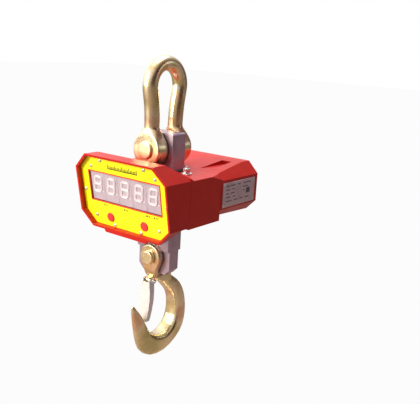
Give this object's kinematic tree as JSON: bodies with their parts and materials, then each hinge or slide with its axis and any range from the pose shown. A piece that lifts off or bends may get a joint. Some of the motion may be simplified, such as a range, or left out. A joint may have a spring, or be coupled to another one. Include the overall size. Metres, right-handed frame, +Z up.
{
  "type": "crane scale",
  "caption": "Hanging crane scale: bow shackle, red steel housing with digital display, load cell and clevis hook with safety latch.",
  "frame": {"origin": "inner crown of the shackle's bow, where the crane's hook bears", "axes": "+Z up along the load line, -Y towards the display, +X to the display's right as its reader sees it"},
  "size_m": [0.1991, 0.256, 0.5282],
  "materials": {
    "passivated": "yellow zinc chromate, low sheen",
    "nickel_steel": "nickel plated, satin",
    "zinc_steel": "bright zinc",
    "red_coat": "powder coat, semi-gloss",
    "yellow_panel": "printed overlay, semi-gloss",
    "border_plastic": "satin",
    "clear_acrylic": "clear, glossy",
    "display_plastic": "matt grey face with white segments",
    "button_plastic": "satin",
    "black_plastic": "moulded",
    "seal_rubber": "matt",
    "aluminium_plate": "brushed",
    "circuit_board": "solder mask",
    "battery_case": "moulded",
    "cable_jacket": "matt"
  },
  "bodies": {
    "shackle": {"shackle_bow": "passivated", "shackle_pin": "passivated", "shackle_pin_washer": "passivated", "shackle_cotter": "zinc_steel"},
    "scale": {"load_cell": "nickel_steel", "gauge_cover_front": "nickel_steel", "gauge_cover_rear": "nickel_steel", "load_cell_lead": "cable_jacket", "cell_bracket_front": "zinc_steel", "cell_bracket_rear": "zinc_steel", "bracket_bolt_front": "zinc_steel", "bracket_bolt_rear": "zinc_steel", "top_gasket": "seal_rubber", "bottom_gasket": "seal_rubber", "front_housing": "red_coat", "middle_housing": "red_coat", "rear_housing": "red_coat", "rear_cover": "red_coat", "rear_cover_screw_1": "zinc_steel", "rear_cover_screw_2": "zinc_steel", "rear_cover_screw_3": "zinc_steel", "rear_cover_screw_4": "zinc_steel", "nameplate": "aluminium_plate", "face_panel": "yellow_panel", "window_frame": "border_plastic", "display_window": "clear_acrylic", "digit_1": "display_plastic", "digit_2": "display_plastic", "digit_3": "display_plastic", "digit_4": "display_plastic", "digit_5": "display_plastic", "left_button_switch": "black_plastic", "right_button_switch": "black_plastic", "display_board": "circuit_board", "panel_screw_1": "nickel_steel", "panel_screw_2": "nickel_steel", "panel_screw_3": "nickel_steel", "panel_screw_4": "nickel_steel", "panel_screw_5": "nickel_steel", "panel_screw_6": "nickel_steel", "panel_screw_7": "nickel_steel", "panel_screw_8": "nickel_steel", "panel_screw_9": "nickel_steel", "panel_screw_10": "nickel_steel", "main_board": "circuit_board", "antenna_washer": "zinc_steel", "antenna_nut": "zinc_steel", "antenna_stub": "black_plastic", "battery": "battery_case", "battery_strap": "zinc_steel", "charge_socket": "black_plastic"},
    "left_button": {"left_button": "button_plastic"},
    "right_button": {"right_button": "button_plastic"},
    "hook": {"hook": "passivated", "hook_pin": "passivated", "hook_pin_washer": "passivated", "hook_cotter": "zinc_steel", "latch_pivot": "zinc_steel", "latch_spring": "zinc_steel"},
    "latch": {"latch": "zinc_steel"}
  },
  "joints": [
    {"name": "shackle_swing", "type": "hinge", "parent": "shackle", "child": "scale", "pos_m": [0, 0, -0.127], "axis": [0, 1, 0], "range_deg": [-85, 85]},
    {"name": "hook_swing", "type": "hinge", "parent": "scale", "child": "hook", "pos_m": [0, 0, -0.3147], "axis": [0, 1, 0], "range_deg": [-15, 15]},
    {"name": "latch_open", "type": "hinge", "parent": "hook", "child": "latch", "pos_m": [0, -0.0225, -0.3562], "axis": [1, 0, 0], "range_deg": [0, 35], "stiffness_Nm_per_rad": 0.05, "springref_deg": -28.65},
    {"name": "left_button_press", "type": "slide", "parent": "scale", "child": "left_button", "axis": [0, 0.9831, 0.1829], "range_m": [0, 0.0015], "stiffness_N_per_m": 800},
    {"name": "right_button_press", "type": "slide", "parent": "scale", "child": "right_button", "axis": [0, 0.9831, 0.1829], "range_m": [0, 0.0015], "stiffness_N_per_m": 800}
  ]
}
